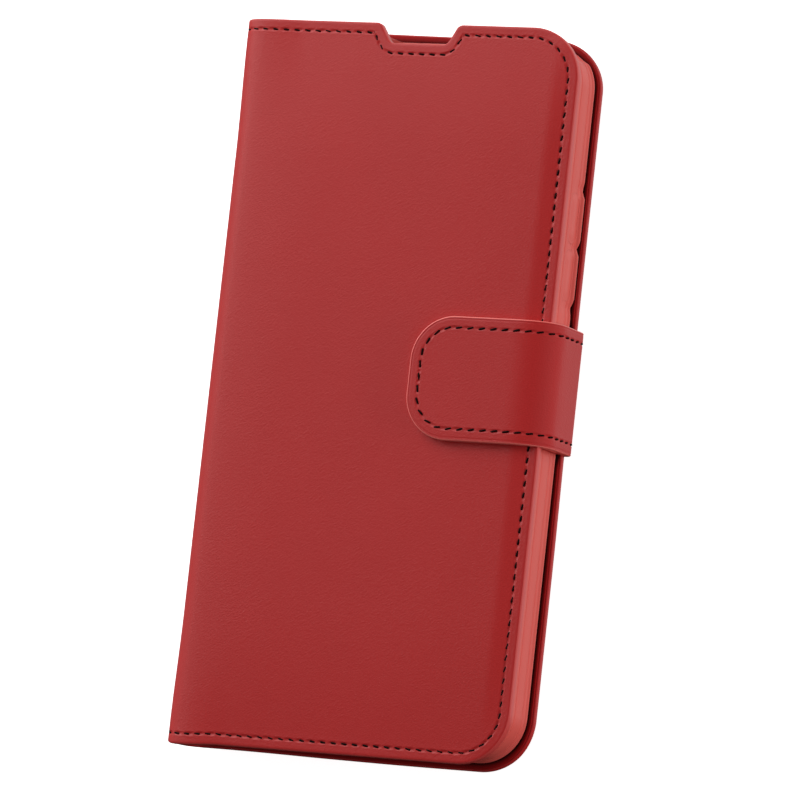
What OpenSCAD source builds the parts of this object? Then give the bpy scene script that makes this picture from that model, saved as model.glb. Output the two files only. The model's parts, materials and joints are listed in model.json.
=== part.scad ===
// Phone wallet case: a padded folio cover with a moulded phone shell, card pockets and a magnetic strap.
// It lies closed on its back. +X points from the spine to the opening edge, +Y to the top of the case
// and +Z out of the front cover. The origin is under the middle of the whole object. Millimetres.

/* [Covers] */
// Length of the covers, from the bottom edge to the top edge
case_l = 166; // [162:1:172]
// Width of the covers, from the spine's outer face to the opening edge
case_w = 84; // [84:0.5:88]
// Thickness of the closed case over the flat borders of its covers
case_t = 15.6; // [15.6:0.1:17]
// Corner radius of the covers at the opening edge
corner_r = 12; // [11:0.5:14]
// Radius of the two rounded long edges of the spine
spine_r = 4.5; // [4:0.1:5]
// Thickness of the outer skin and of each strap layer
skin_t = 0.8; // [0.7:0.05:0.9]
// Thickness of the stiffening boards
board_t = 1.2; // [1:0.1:1.3]
// Thickness of the lining
lining_t = 0.6; // [0.5:0.05:0.7]
// Height of the padded middle of the front cover above its border
crown_h = 0.85; // [0.5:0.05:0.85]

/* [Earpiece notch] */
// Width of the notch at the cover's edge
notch_top_w = 19.9; // [16:0.1:24]
// Width of the notch at its floor
notch_floor_w = 13.9; // [13.6:0.1:15]
// Depth of the notch
notch_d = 4.65; // [4.6:0.05:6]

/* [Seams] */
// Distance of the seams from the cover's edges
seam_in = 2.4; // [2:0.1:2.6]
// Distance of the strap's seam from its edges
strap_seam_in = 2.6; // [2:0.1:3]
// Width of a seam's thread line
thread_w = 0.5; // [0.4:0.05:0.6]

/* [Phone shell] */
// Width of the phone that the shell holds
phone_w = 74.6; // [73:0.1:74.6]
// Length of the phone
phone_l = 159.4; // [156:0.1:159.4]
// Thickness of the phone
phone_t = 7.7; // [7:0.1:7.7]
// Wall of the shell
wall_t = 1.6; // [1.4:0.1:1.6]
// Floor of the shell
floor_t = 1.2; // [1:0.1:1.2]
// Overhang of the lip that snaps over the phone
lip_w = 0.9; // [0.6:0.1:1]
// Width of the camera window
camera_w = 26; // [20:1:28]
// Length of the camera window
camera_l = 44; // [30:1:45]
// Travel of the side buttons
button_travel = 0.4; // [0.2:0.05:0.4]

/* [Strap] */
// Width of the strap
strap_w = 28; // [24:1:30]
// Distance that the strap stands outside the opening edge
strap_out = 2; // [1.9:0.05:2.2]
// Length of the tab that lies on the front cover
tab_l = 34.2; // [32:0.1:38]
// Corner radius of the tab's tip
tab_r = 10.2; // [8:0.1:11.5]
// Diameter of the tab's magnet and of the steel disc under the cover
magnet_d = 14; // [10:0.5:16]

/* [Hidden] */
$fn = 64;
eps = 0.01;

// Places along X
spine_x = -(case_w + strap_out) / 2;
edge_x = spine_x + case_w;
strap_x = edge_x + strap_out;
panel_x = spine_x + spine_r;

// Levels along Z
cover_t = skin_t + board_t + lining_t;
front_z = case_t - cover_t;
front_board_z = front_z + lining_t;
front_skin_z = case_t - skin_t;
crown_z = case_t + crown_h;

// Turned edge of the skins, and how far the lining stays back from the edge
turn_w = 1.2;
lining_in = 0.4;
// The boards stop this far from the creases, so that the covers can fold
board_gap = 1.5;
thread_d = 0.3;
fold_t = skin_t + lining_t;

// Crown of the front cover
crown_in = 3.2;
crown_slope = 6;
crown_r = corner_r - crown_in;
crown_gap = 0.8;
crown_x0 = panel_x + crown_gap;
crown_cut = 3;
crown_x1 = edge_x - crown_in;
crown_l = case_l - 2 * crown_in;

// Notch
notch_shift = 2.2;
notch_x = spine_x + case_w / 2 + notch_shift;
notch_r = 1.6;
notch_slope = (notch_top_w - notch_floor_w) / 2 / notch_d;

// Phone shell
adhesive_t = 0.2;
shell_shift = 2;
shell_x = spine_x + case_w / 2 + shell_shift;
shell_z = cover_t + adhesive_t;
shell_w = phone_w + 2 * wall_t;
shell_l = phone_l + 2 * wall_t;
shell_r = 10.5;
shell_edge_r = 2;
lip_t = 0.5;
shell_h = floor_t + phone_t + lip_t;
shell_right = shell_x + shell_w / 2;
phone_r = shell_r - wall_t;
phone_mid_z = shell_z + floor_t + phone_t / 2;
// Gap in the shell's top wall, below the earpiece notch
relief_w = 18;
groove_d = 0.25;
groove_w = 0.5;
groove_levels = [2.7, 7.1];

// Openings of the shell; the camera window lies near the phone's top corner
camera_side_in = 3.3;
camera_top_in = 3.7;
camera_x = shell_x + phone_w / 2 - camera_side_in - camera_w / 2;
camera_y = phone_l / 2 - camera_top_in - camera_l / 2;
camera_r = 8;
port_w = 14;
port_h = 5;
speaker_w = 9;
speaker_h = 2.2;
speaker_x = 17;
mic_r = 0.8;

// Side buttons
volume_y = 41.35;
volume_l = 11.5;
power_y = 28.4;
power_l = 11.6;
button_h = 4.8;
button_z = shell_z + 4.4;
button_proud = 0.5;
button_gap = 0.12;

// Card pockets inside the front cover
pocket_w = 68;
pocket_bottom = -76;
pocket_top = 62;
pocket_t = 0.3;
pocket_r = 4;
pocket_seam_in = 1.3;
slot_w = 62;
slot_bottom = -73;
slot_t = 0.25;
slot_top = 44;
slot_step = 16;
slot_r = 1;

// Strap
strap_y = 2.5;
strap_t = 2 * skin_t;
tab_gap = 0.25;
tab_z = crown_z + tab_gap;
low_bend_r = strap_out;
high_bend_r = 4;
high_bend_x = strap_x - high_bend_r;
high_bend_z = tab_z + strap_t - high_bend_r;
tab_x = strap_x - tab_l;
base_x = 6;
base_r = 4;
magnet_t = 0.8;
magnet_x = tab_x + 12.5;

// Colours
red_leather = [0.64, 0.22, 0.22];
dark_lining = [0.45, 0.06, 0.06];
coral_shell = [0.81, 0.37, 0.34];
dark_thread = [0.12, 0.02, 0.02];
grey_board = [0.55, 0.52, 0.48];
white_foam = [0.92, 0.9, 0.86];
clear_glue = [0.86, 0.83, 0.7];
bare_steel = [0.72, 0.73, 0.75];

// ---- Shared shapes ----

// Points of a closed outline whose corners, each [x, y, radius], are rounded
function rounded(corners) = [
    for (i = [0:len(corners) - 1])
        let (
            n = len(corners),
            here = [corners[i].x, corners[i].y],
            before = [corners[(i + n - 1) % n].x, corners[(i + n - 1) % n].y],
            after = [corners[(i + 1) % n].x, corners[(i + 1) % n].y],
            u = (before - here) / norm(before - here),
            v = (after - here) / norm(after - here),
            reach = corners[i].z / tan(acos(u * v) / 2)
        )
        if (corners[i].z == 0) here
        else each [for (t = [0:0.2:1]) here + (1 - t) * (1 - t) * reach * u + t * t * reach * v]
];

// Plate with four round corners, centred
module rounded_plate(w, l, r) {
    square([w - 2 * r, l], center = true);
    square([w, l - 2 * r], center = true);
    for (x = [-1, 1], y = [-1, 1])
        translate([x * (w / 2 - r), y * (l / 2 - r)]) circle(r);
}

// Block with four round corners whose edge follows the 2-D child, drawn from the corner's
// centre (0) out to the side (r); its middle is filled from z0 to z1
module edged_block(w, l, r, z0, z1) {
    for (x = [-1, 1], y = [-1, 1])
        translate([x * (w / 2 - r), y * (l / 2 - r), 0]) rotate_extrude() children();
    for (side = [0, 180]) {
        rotate([0, 0, side]) translate([w / 2 - r, 0, 0]) rotate([90, 0, 0])
            linear_extrude(l - 2 * r, center = true) children();
        rotate([0, 0, side + 90]) translate([l / 2 - r, 0, 0]) rotate([90, 0, 0])
            linear_extrude(w - 2 * r, center = true) children();
    }
    translate([-(w / 2 - r), -(l / 2 - r), z0]) cube([w - 2 * r, l - 2 * r, z1 - z0]);
}

// Solid with its cross-section in the XZ plane, centred on y
module along_y(length, y = 0) {
    translate([0, y, 0]) rotate([90, 0, 0]) linear_extrude(length, center = true) children();
}

// Quarter ring in the plane, around the centre, in the quadrant that the signs give
module quarter_ring(outer_r, inner_r, sign_x, sign_y) {
    intersection() {
        difference() {
            circle(outer_r);
            circle(inner_r);
        }
        translate([sign_x > 0 ? 0 : -outer_r, sign_y > 0 ? 0 : -outer_r]) square(outer_r);
    }
}

// ---- Outlines of the covers ----

// A cover's panel, from start past the crease to the opening edge
module cover_outline(inset = 0, start = 0) {
    r = corner_r - inset;
    half_l = case_l / 2 - inset;
    left = panel_x + start;
    right = edge_x - inset;
    translate([left, -half_l]) square([right - r - left, 2 * half_l]);
    translate([left, r - half_l]) square([right - left, 2 * (half_l - r)]);
    for (side = [-1, 1])
        translate([right - r, side * (half_l - r)]) circle(r);
}

// The earpiece notch, grown by inset on its floor and sides
module notch(inset = 0) {
    top = case_l / 2 - inset;
    side = inset * sqrt(1 + notch_slope * notch_slope);
    floor_half = notch_floor_w / 2 + side - notch_slope * inset;
    top_half = floor_half + notch_slope * notch_d;
    beyond = 4;
    translate([notch_x, 0]) polygon(rounded([
        [-top_half - beyond, top, 0],
        [-top_half, top, notch_r],
        [-floor_half, top - notch_d, notch_r],
        [floor_half, top - notch_d, notch_r],
        [top_half, top, notch_r],
        [top_half + beyond, top, 0],
        [top_half + beyond, top + beyond, 0],
        [-top_half - beyond, top + beyond, 0]
    ]));
}

module front_outline(inset = 0, start = 0) {
    difference() {
        cover_outline(inset, start);
        notch(inset);
    }
}

module camera_window(grow = 0) {
    translate([camera_x, camera_y])
        rounded_plate(camera_w + 2 * grow, camera_l + 2 * grow, camera_r + grow);
}

// Line of the seam that follows a cover's edge
module back_seam() {
    difference() {
        cover_outline(seam_in - thread_w / 2);
        cover_outline(seam_in + thread_w / 2);
        base_outline();
    }
}

module front_seam() {
    difference() {
        front_outline(seam_in - thread_w / 2);
        front_outline(seam_in + thread_w / 2);
    }
}

// Cross-section of the spine's two straight seams
module spine_seams() {
    for (side = [-1, 1])
        translate([spine_x, side * (case_l / 2 - seam_in) - thread_w / 2, spine_r])
            cube([thread_d, thread_w, case_t - 2 * spine_r]);
}

// ---- Back cover ----

module back_skin() {
    color(red_leather) difference() {
        union() {
            linear_extrude(skin_t) cover_outline();
            linear_extrude(skin_t + board_t) difference() {
                cover_outline();
                cover_outline(turn_w);
            }
        }
        translate([0, 0, -eps]) linear_extrude(skin_t + 2 * eps) camera_window();
        translate([0, 0, -eps]) linear_extrude(skin_t + eps) base_outline();
        translate([0, 0, -eps]) linear_extrude(thread_d + eps) back_seam();
    }
}

module back_board() {
    color(grey_board) translate([0, 0, skin_t]) linear_extrude(board_t) difference() {
        cover_outline(turn_w, board_gap);
        camera_window();
    }
}

module back_lining() {
    color(dark_lining) translate([0, 0, skin_t + board_t]) linear_extrude(lining_t) difference() {
        cover_outline(lining_in);
        camera_window();
    }
}

module back_thread() {
    color(dark_thread) linear_extrude(thread_d) back_seam();
}

// A crease is skin and lining without a board, bent round the spine's long edge. It folds about an
// axis 0.215 * spine_r in from both outer faces, where the skin keeps its length as it goes flat;
// the strap's two bends fold the same way about theirs.
module back_crease() {
    color(red_leather) along_y(case_l) translate([panel_x, spine_r])
        quarter_ring(spine_r, spine_r - fold_t, -1, -1);
}

// ---- Phone shell and its buttons ----

module shell_adhesive() {
    color(clear_glue) translate([0, 0, cover_t]) linear_extrude(adhesive_t) difference() {
        translate([shell_x, 0])
            rounded_plate(shell_w - 2 * shell_r, shell_l - 2 * shell_r, shell_edge_r);
        camera_window(1);
    }
}

// Edge of the shell: rounded at the back, with two thin grip grooves
module shell_profile() {
    difference() {
        union() {
            square([shell_r - shell_edge_r, shell_h]);
            translate([0, shell_edge_r]) square([shell_r, shell_h - shell_edge_r]);
            translate([shell_r - shell_edge_r, shell_edge_r]) circle(shell_edge_r);
        }
        for (z = groove_levels)
            translate([shell_r - groove_d, z]) square([groove_d + 1, groove_w]);
    }
}

// Round-ended bar along Y, seen along X
module button_outline(length, grow = 0) {
    rounded_plate(length + 2 * grow, button_h + 2 * grow, button_h / 2 + grow - eps);
}

module across_x(x, y, depth) {
    translate([x, y, button_z]) rotate([90, 0, 90]) linear_extrude(depth) children();
}

module phone_shell() {
    color(coral_shell) difference() {
        translate([shell_x, 0, shell_z])
            edged_block(shell_w, shell_l, shell_r, 0, shell_h) shell_profile();
        // Space for the phone, and the window that its screen shows through
        translate([shell_x, 0, shell_z + floor_t]) linear_extrude(phone_t)
            rounded_plate(phone_w, phone_l, phone_r);
        translate([shell_x, 0, shell_z + floor_t]) linear_extrude(phone_t + 2 * lip_t)
            rounded_plate(phone_w - 2 * lip_w, phone_l - 2 * lip_w, phone_r - lip_w);
        translate([0, 0, shell_z - eps]) linear_extrude(floor_t + 2 * eps) camera_window();
        // Side buttons
        across_x(shell_right - 2 * wall_t, volume_y, 3 * wall_t)
            button_outline(volume_l, button_gap);
        across_x(shell_right - 2 * wall_t, power_y, 3 * wall_t)
            button_outline(power_l, button_gap);
        // Charging port and speaker slots at the bottom edge
        translate([shell_x, -phone_l / 2 + wall_t, phone_mid_z]) rotate([90, 0, 0])
            linear_extrude(3 * wall_t) {
                rounded_plate(port_w, port_h, port_h / 2 - eps);
                for (side = [-1, 1])
                    translate([side * speaker_x, 0])
                        rounded_plate(speaker_w, speaker_h, speaker_h / 2 - eps);
            }
        // Microphone hole and the gap below the notch at the top edge
        translate([shell_x + speaker_x, phone_l / 2 - wall_t, phone_mid_z]) rotate([-90, 0, 0])
            cylinder(3 * wall_t, r = mic_r);
        translate([notch_x - relief_w / 2, phone_l / 2 - 2 * wall_t, shell_z + floor_t])
            cube([relief_w, 4 * wall_t, shell_h]);
    }
}

module button(y, length) {
    inner_x = shell_right - wall_t + button_travel;
    color(coral_shell) across_x(inner_x, y, shell_right + button_proud - inner_x)
        button_outline(length);
}

module volume_button() {
    button(volume_y, volume_l);
}

module power_button() {
    button(power_y, power_l);
}

// ---- Spine ----

// Flat layer of the spine: gap is how far it stops from the creases, end how far from both ends
module spine_layer(x, thickness, gap = 0, end = 0) {
    translate([x, end - case_l / 2, spine_r + gap])
        cube([thickness, case_l - 2 * end, case_t - 2 * (spine_r + gap)]);
}

module spine_skin() {
    color(red_leather) difference() {
        union() {
            spine_layer(spine_x, skin_t);
            spine_layer(spine_x, skin_t + board_t, board_gap);
        }
        spine_layer(spine_x + skin_t, board_t + eps, board_gap - eps, turn_w);
        spine_seams();
    }
}

module spine_board() {
    color(grey_board) spine_layer(spine_x + skin_t, board_t, board_gap, turn_w);
}

module spine_lining() {
    color(dark_lining) spine_layer(spine_x + skin_t + board_t, lining_t);
}

module spine_thread() {
    color(dark_thread) spine_seams();
}

module front_crease() {
    color(red_leather) along_y(case_l) translate([panel_x, case_t - spine_r])
        quarter_ring(spine_r, spine_r - fold_t, -1, 1);
}

// ---- Front cover ----

// Raised middle of the front cover; below is how far it reaches under its border level
module crown(below) {
    w = crown_x1 - crown_x0;
    translate([(crown_x0 + crown_x1) / 2, 0, 0])
        edged_block(w, crown_l, crown_r, -below, crown_h)
            polygon([
                [0, -below],
                [crown_r, -below],
                [crown_r, 0],
                [crown_r - crown_slope, crown_h],
                [0, crown_h]
            ]);
}

module front_padding() {
    color(white_foam) difference() {
        translate([0, 0, front_skin_z]) crown(0);
        translate([0, 0, case_t - crown_cut / 2]) linear_extrude(crown_cut) notch(crown_in + skin_t);
    }
}

module front_skin() {
    color(red_leather) difference() {
        union() {
            translate([0, 0, front_skin_z]) linear_extrude(skin_t) front_outline();
            translate([0, 0, front_board_z]) linear_extrude(skin_t + board_t) difference() {
                front_outline();
                front_outline(turn_w);
            }
            difference() {
                translate([0, 0, case_t]) crown(skin_t / 2);
                translate([0, 0, case_t - crown_cut / 2]) linear_extrude(crown_cut) notch(crown_in);
            }
        }
        front_padding();
        translate([0, 0, case_t - thread_d]) linear_extrude(thread_d + eps) front_seam();
    }
}

module front_board() {
    color(grey_board) difference() {
        translate([0, 0, front_board_z]) linear_extrude(board_t) front_outline(turn_w, board_gap);
        translate([magnet_x, strap_y, front_skin_z - magnet_t])
            cylinder(magnet_t + eps, d = magnet_d);
    }
}

module catch_disc() {
    color(bare_steel) translate([magnet_x, strap_y, front_skin_z - magnet_t])
        cylinder(magnet_t, d = magnet_d);
}

module front_lining() {
    color(dark_lining) translate([0, 0, front_z]) linear_extrude(lining_t) front_outline(lining_in);
}

module front_thread() {
    color(dark_thread) translate([0, 0, case_t - thread_d]) linear_extrude(thread_d) front_seam();
}

// ---- Card pockets ----

module pocket_outline(inset = 0) {
    translate([shell_x, (pocket_bottom + pocket_top) / 2])
        rounded_plate(pocket_w - 2 * inset, pocket_top - pocket_bottom - 2 * inset, pocket_r - inset);
}

// Seam on three sides; the pocket stays open towards the spine
module pocket_seam() {
    difference() {
        pocket_outline(pocket_seam_in - thread_w / 4);
        pocket_outline(pocket_seam_in + thread_w / 4);
        translate([shell_x - pocket_w / 2, pocket_bottom])
            square([pocket_r, pocket_top - pocket_bottom]);
    }
}

module cash_pocket() {
    color(red_leather) difference() {
        translate([0, 0, front_z - pocket_t]) linear_extrude(pocket_t) pocket_outline();
        translate([0, 0, front_z - pocket_t - eps]) linear_extrude(pocket_t / 2 + eps) pocket_seam();
    }
}

module pocket_thread() {
    color(dark_thread) translate([0, 0, front_z - pocket_t]) linear_extrude(pocket_t / 2) pocket_seam();
}

// Slots lie on each other like steps, the first one against the cash pocket
module card_slot(number) {
    top = slot_top - (number - 1) * slot_step;
    color(red_leather)
        translate([shell_x, (slot_bottom + top) / 2, front_z - pocket_t - number * slot_t])
            linear_extrude(slot_t) rounded_plate(slot_w, top - slot_bottom, slot_r);
}

module card_slot_1() {
    card_slot(1);
}

module card_slot_2() {
    card_slot(2);
}

module card_slot_3() {
    card_slot(3);
}

// ---- Strap ----

// Round-cornered end of the strap on the back cover; it runs out past the opening edge
module base_outline(inset = 0, end_x = edge_x) {
    r = base_r - inset;
    left = base_x + inset;
    half_w = strap_w / 2 - inset;
    translate([left + r, strap_y - half_w]) square([end_x - left - r, 2 * half_w]);
    translate([left, strap_y - half_w + r]) square([end_x - left, 2 * (half_w - r)]);
    for (side = [-1, 1])
        translate([left + r, strap_y + side * (half_w - r)]) circle(r);
}

// Box seam that holds the strap's end on the back cover
module base_seam() {
    end_x = edge_x - strap_seam_in;
    difference() {
        base_outline(strap_seam_in - thread_w / 2, end_x);
        base_outline(strap_seam_in + thread_w / 2, end_x - thread_w);
    }
}

module strap_base_skin() {
    color(red_leather) difference() {
        linear_extrude(skin_t) base_outline();
        translate([0, 0, -eps]) linear_extrude(thread_d + eps) base_seam();
    }
}

module strap_base_thread() {
    color(dark_thread) linear_extrude(thread_d) base_seam();
}

module strap_back_bend() {
    color(red_leather) along_y(strap_w, strap_y) translate([edge_x, low_bend_r])
        quarter_ring(low_bend_r, low_bend_r - skin_t, 1, -1);
}

module side_layer(x) {
    translate([x, strap_y - strap_w / 2, low_bend_r])
        cube([skin_t, strap_w, high_bend_z - low_bend_r]);
}

module side_seams() {
    for (side = [-1, 1])
        translate([strap_x - thread_d, strap_y - thread_w / 2, low_bend_r])
            translate([0, side * (strap_w / 2 - strap_seam_in), 0])
                cube([thread_d, thread_w, high_bend_z - low_bend_r]);
}

module strap_side_skin() {
    color(red_leather) difference() {
        side_layer(strap_x - skin_t);
        side_seams();
    }
}

module strap_side_lining() {
    color(red_leather) side_layer(strap_x - strap_t);
}

module strap_side_thread() {
    color(dark_thread) side_seams();
}

module strap_front_bend() {
    color(red_leather) along_y(strap_w, strap_y) translate([high_bend_x, high_bend_z])
        quarter_ring(high_bend_r, high_bend_r - strap_t, 1, 1);
}

// The tab, from its round tip to the upper bend
module tab_outline(inset = 0) {
    r = tab_r - inset;
    tip = tab_x + inset;
    half_w = strap_w / 2 - inset;
    translate([tip + r, strap_y - half_w]) square([high_bend_x - tip - r, 2 * half_w]);
    translate([tip, strap_y - half_w + r]) square([high_bend_x - tip, 2 * (half_w - r)]);
    for (side = [-1, 1])
        translate([tip + r, strap_y + side * (half_w - r)]) circle(r);
}

module tab_seam() {
    difference() {
        tab_outline(strap_seam_in - thread_w / 2);
        tab_outline(strap_seam_in + thread_w / 2);
    }
}

module strap_magnet() {
    color(bare_steel) translate([magnet_x, strap_y, tab_z + skin_t - magnet_t / 2])
        cylinder(magnet_t, d = magnet_d);
}

module strap_tab_lining() {
    color(red_leather) difference() {
        translate([0, 0, tab_z]) linear_extrude(skin_t) tab_outline();
        strap_magnet();
    }
}

module strap_tab_skin() {
    color(red_leather) difference() {
        translate([0, 0, tab_z + skin_t]) linear_extrude(skin_t) tab_outline();
        strap_magnet();
        translate([0, 0, tab_z + strap_t - thread_d]) linear_extrude(thread_d + eps) tab_seam();
    }
}

module strap_tab_thread() {
    color(dark_thread) translate([0, 0, tab_z + strap_t - thread_d]) linear_extrude(thread_d) tab_seam();
}

back_skin();
back_board();
back_lining();
back_thread();
back_crease();
shell_adhesive();
phone_shell();
volume_button();
power_button();
spine_skin();
spine_board();
spine_lining();
spine_thread();
front_crease();
front_skin();
front_padding();
front_board();
front_lining();
front_thread();
catch_disc();
cash_pocket();
card_slot_1();
card_slot_2();
card_slot_3();
pocket_thread();
strap_base_skin();
strap_base_thread();
strap_back_bend();
strap_side_skin();
strap_side_lining();
strap_side_thread();
strap_front_bend();
strap_tab_skin();
strap_tab_lining();
strap_tab_thread();
strap_magnet();
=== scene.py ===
import json
import math

import bmesh
import bpy
import numpy as np
from mathutils import Matrix, Vector
from mathutils.geometry import delaunay_2d_cdt


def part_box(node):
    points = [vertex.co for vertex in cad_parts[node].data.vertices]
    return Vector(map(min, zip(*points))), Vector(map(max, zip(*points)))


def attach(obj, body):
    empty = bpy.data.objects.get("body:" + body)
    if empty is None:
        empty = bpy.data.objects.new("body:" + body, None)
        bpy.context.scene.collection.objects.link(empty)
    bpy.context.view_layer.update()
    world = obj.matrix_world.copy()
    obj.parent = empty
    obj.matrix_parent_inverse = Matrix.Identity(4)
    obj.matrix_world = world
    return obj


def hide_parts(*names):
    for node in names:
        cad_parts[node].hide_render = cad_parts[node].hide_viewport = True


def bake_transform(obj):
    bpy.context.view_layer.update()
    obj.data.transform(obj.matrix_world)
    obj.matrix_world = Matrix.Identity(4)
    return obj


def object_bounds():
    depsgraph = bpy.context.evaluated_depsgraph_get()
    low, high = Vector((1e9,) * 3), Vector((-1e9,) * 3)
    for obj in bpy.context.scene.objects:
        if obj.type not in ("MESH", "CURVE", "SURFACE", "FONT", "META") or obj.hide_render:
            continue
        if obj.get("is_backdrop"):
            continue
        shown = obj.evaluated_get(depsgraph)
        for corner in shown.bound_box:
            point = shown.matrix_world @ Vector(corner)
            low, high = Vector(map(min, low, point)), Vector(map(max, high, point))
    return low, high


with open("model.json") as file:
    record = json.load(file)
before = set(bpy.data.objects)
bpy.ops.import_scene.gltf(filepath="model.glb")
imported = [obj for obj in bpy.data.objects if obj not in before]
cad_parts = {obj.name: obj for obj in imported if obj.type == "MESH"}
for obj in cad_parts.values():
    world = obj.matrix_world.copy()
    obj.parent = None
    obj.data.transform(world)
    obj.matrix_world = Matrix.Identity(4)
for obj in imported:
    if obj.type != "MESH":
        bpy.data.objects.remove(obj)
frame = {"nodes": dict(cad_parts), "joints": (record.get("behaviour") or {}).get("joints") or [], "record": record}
cad_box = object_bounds()

MM = 0.001


# ---- Places and sizes, in millimetres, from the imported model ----

def box_mm(node):
    """Lowest and highest corner of a node's box."""
    low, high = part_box(node)
    return low / MM, high / MM


FRONT_HIGH = box_mm("front_skin")[1]
CREASE_LOW, CREASE_HIGH = box_mm("front_crease")
SPINE_X = CREASE_LOW.x                    # outer face of the spine
PANEL_X = CREASE_HIGH.x                   # where the covers' flat panels start
SPINE_R = PANEL_X - SPINE_X               # radius of the spine's long edges
EDGE_X = FRONT_HIGH.x                     # opening edge of the covers
HALF_L = FRONT_HIGH.y
TOP_Z = CREASE_HIGH.z                     # outer face of the front cover's border
CROWN_H = FRONT_HIGH.z - TOP_Z            # height of the padded middle
SKIN_T = box_mm("spine_skin")[1].x - SPINE_X
LINING_T = box_mm("front_lining")[1].z - box_mm("front_lining")[0].z
COVER_T = TOP_Z - box_mm("front_lining")[0].z
CORNER_R = 12.0
THREAD_W = 0.5
SEAM_IN = HALF_L - box_mm("front_thread")[1].y + THREAD_W / 2
LINING_IN = HALF_L - box_mm("front_lining")[1].y
NOTCH_LOW, NOTCH_HIGH = -5.75, 8.15       # floor of the earpiece notch
NOTCH_D = 4.65
NOTCH_SLOPE = 3.0 / NOTCH_D
NOTCH_R = 1.9
TURN_W = 1.7                              # width of the skin turned in over the board
RIM_W = 0.3                               # the painted highlight on the edge reaches this far in
STITCH_PITCH = 2.6
ARC = SPINE_R * math.pi / 2
SPINE_MID = PANEL_X - ARC - (TOP_Z - 2 * SPINE_R) / 2   # unrolled place of the spine's middle


# ---- Materials ----

def material(name, colour, roughness, grain=0.0, grain_scale=900.0, specular=0.5, variation=0.05,
             bevel=0.0, gap_shade_reach=0.0):
    """Principled material: fine leather-like grain in the bump, a little colour variation.

    bevel is the radius of softened edges; gap_shade_reach is how far painted shade reaches into narrow gaps, where
    ambient occlusion darkens the base colour towards near black.
    """
    mat = bpy.data.materials.new(name)
    mat.use_nodes = True
    nodes, links = mat.node_tree.nodes, mat.node_tree.links
    shader = nodes["Principled BSDF"]
    shader.inputs["Roughness"].default_value = roughness
    shader.inputs["Specular IOR Level"].default_value = specular
    place = nodes.new("ShaderNodeTexCoord")

    # Slow blotches of lighter and darker colour
    blotch = nodes.new("ShaderNodeTexNoise")
    blotch.inputs["Scale"].default_value = 45.0
    blotch.inputs["Detail"].default_value = 3.0
    links.new(place.outputs["Object"], blotch.inputs["Vector"])
    ramp = nodes.new("ShaderNodeValToRGB")
    ramp.color_ramp.elements[0].position = 0.3
    ramp.color_ramp.elements[1].position = 0.7
    ramp.color_ramp.elements[0].color = [c * (1 - variation) for c in colour] + [1]
    ramp.color_ramp.elements[1].color = [min(1, c * (1 + variation)) for c in colour] + [1]
    links.new(blotch.outputs["Fac"], ramp.inputs["Fac"])
    links.new(ramp.outputs["Color"], shader.inputs["Base Color"])
    # Painted shade: in narrow gaps the base colour is mixed towards near black by ambient occlusion.
    if gap_shade_reach > 0:
        openness = nodes.new("ShaderNodeAmbientOcclusion")
        openness.inputs["Distance"].default_value = gap_shade_reach
        openness.samples = 8
        depth = nodes.new("ShaderNodeMapRange")
        depth.inputs["From Min"].default_value = 0.5
        depth.inputs["From Max"].default_value = 1.0
        depth.inputs["To Min"].default_value = 0.03
        shade = nodes.new("ShaderNodeMix")
        shade.data_type = "RGBA"
        shade.inputs[6].default_value = (0.004, 0.001, 0.001, 1)
        links.new(openness.outputs["AO"], depth.inputs["Value"])
        links.new(depth.outputs["Result"], shade.inputs["Factor"])
        links.new(ramp.outputs["Color"], shade.inputs[7])
        links.new(shade.outputs[2], shader.inputs["Base Color"])

    if grain > 0:
        # Fine grain, drawn out a little along one diagonal
        turned = nodes.new("ShaderNodeMapping")
        turned.vector_type = "TEXTURE"
        turned.inputs["Rotation"].default_value = (0, 0, 0.7)
        turned.inputs["Scale"].default_value = (2.2, 1.0, 1.6)
        links.new(place.outputs["Object"], turned.inputs["Vector"])
        cells = nodes.new("ShaderNodeTexVoronoi")
        cells.feature = "SMOOTH_F1"
        cells.inputs["Scale"].default_value = grain_scale
        cells.inputs["Smoothness"].default_value = 0.6
        links.new(turned.outputs["Vector"], cells.inputs["Vector"])
        fine = nodes.new("ShaderNodeTexNoise")
        fine.inputs["Scale"].default_value = grain_scale * 2.2
        fine.inputs["Detail"].default_value = 4.0
        links.new(turned.outputs["Vector"], fine.inputs["Vector"])
        both = nodes.new("ShaderNodeMath")
        both.operation = "MULTIPLY_ADD"
        both.inputs[1].default_value = 0.35
        links.new(fine.outputs["Fac"], both.inputs[0])
        links.new(cells.outputs["Distance"], both.inputs[2])
        bump = nodes.new("ShaderNodeBump")
        bump.inputs["Strength"].default_value = grain
        bump.inputs["Distance"].default_value = 0.00012
        links.new(both.outputs["Value"], bump.inputs["Height"])
        links.new(bump.outputs["Normal"], shader.inputs["Normal"])
        if bevel > 0:
            rounding = nodes.new("ShaderNodeBevel")
            rounding.inputs["Radius"].default_value = bevel
            links.new(rounding.outputs["Normal"], bump.inputs["Normal"])
    return mat


LEATHER = material("red_leather", (0.45, 0.0185, 0.0178), 0.42, grain=0.27, grain_scale=4000,
                   specular=0.28, variation=0.015)
# Lighter copy of the leather for the cover's turned edge: a painted highlight in place of the light that the edge
# catches.
LIT_EDGE_LEATHER = material("edge_leather_painted_highlight", (0.58, 0.062, 0.056), 0.36, grain=0.06, grain_scale=4000,
                        specular=0.38, variation=0.015)
# A still lighter copy of the leather for the strap's rounded rims: a painted highlight of the light along the
# strap's edge.
STRAP_RIM_HIGHLIGHT = material("strap_rim_painted_highlight", (0.78, 0.15, 0.13), 0.36, grain=0.06, grain_scale=4000,
                     specular=0.42, variation=0.015)
POCKET_LEATHER = material("pocket_leather", (0.33, 0.036, 0.036), 0.5, grain=0.4, specular=0.4, bevel=0.0001)
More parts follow.
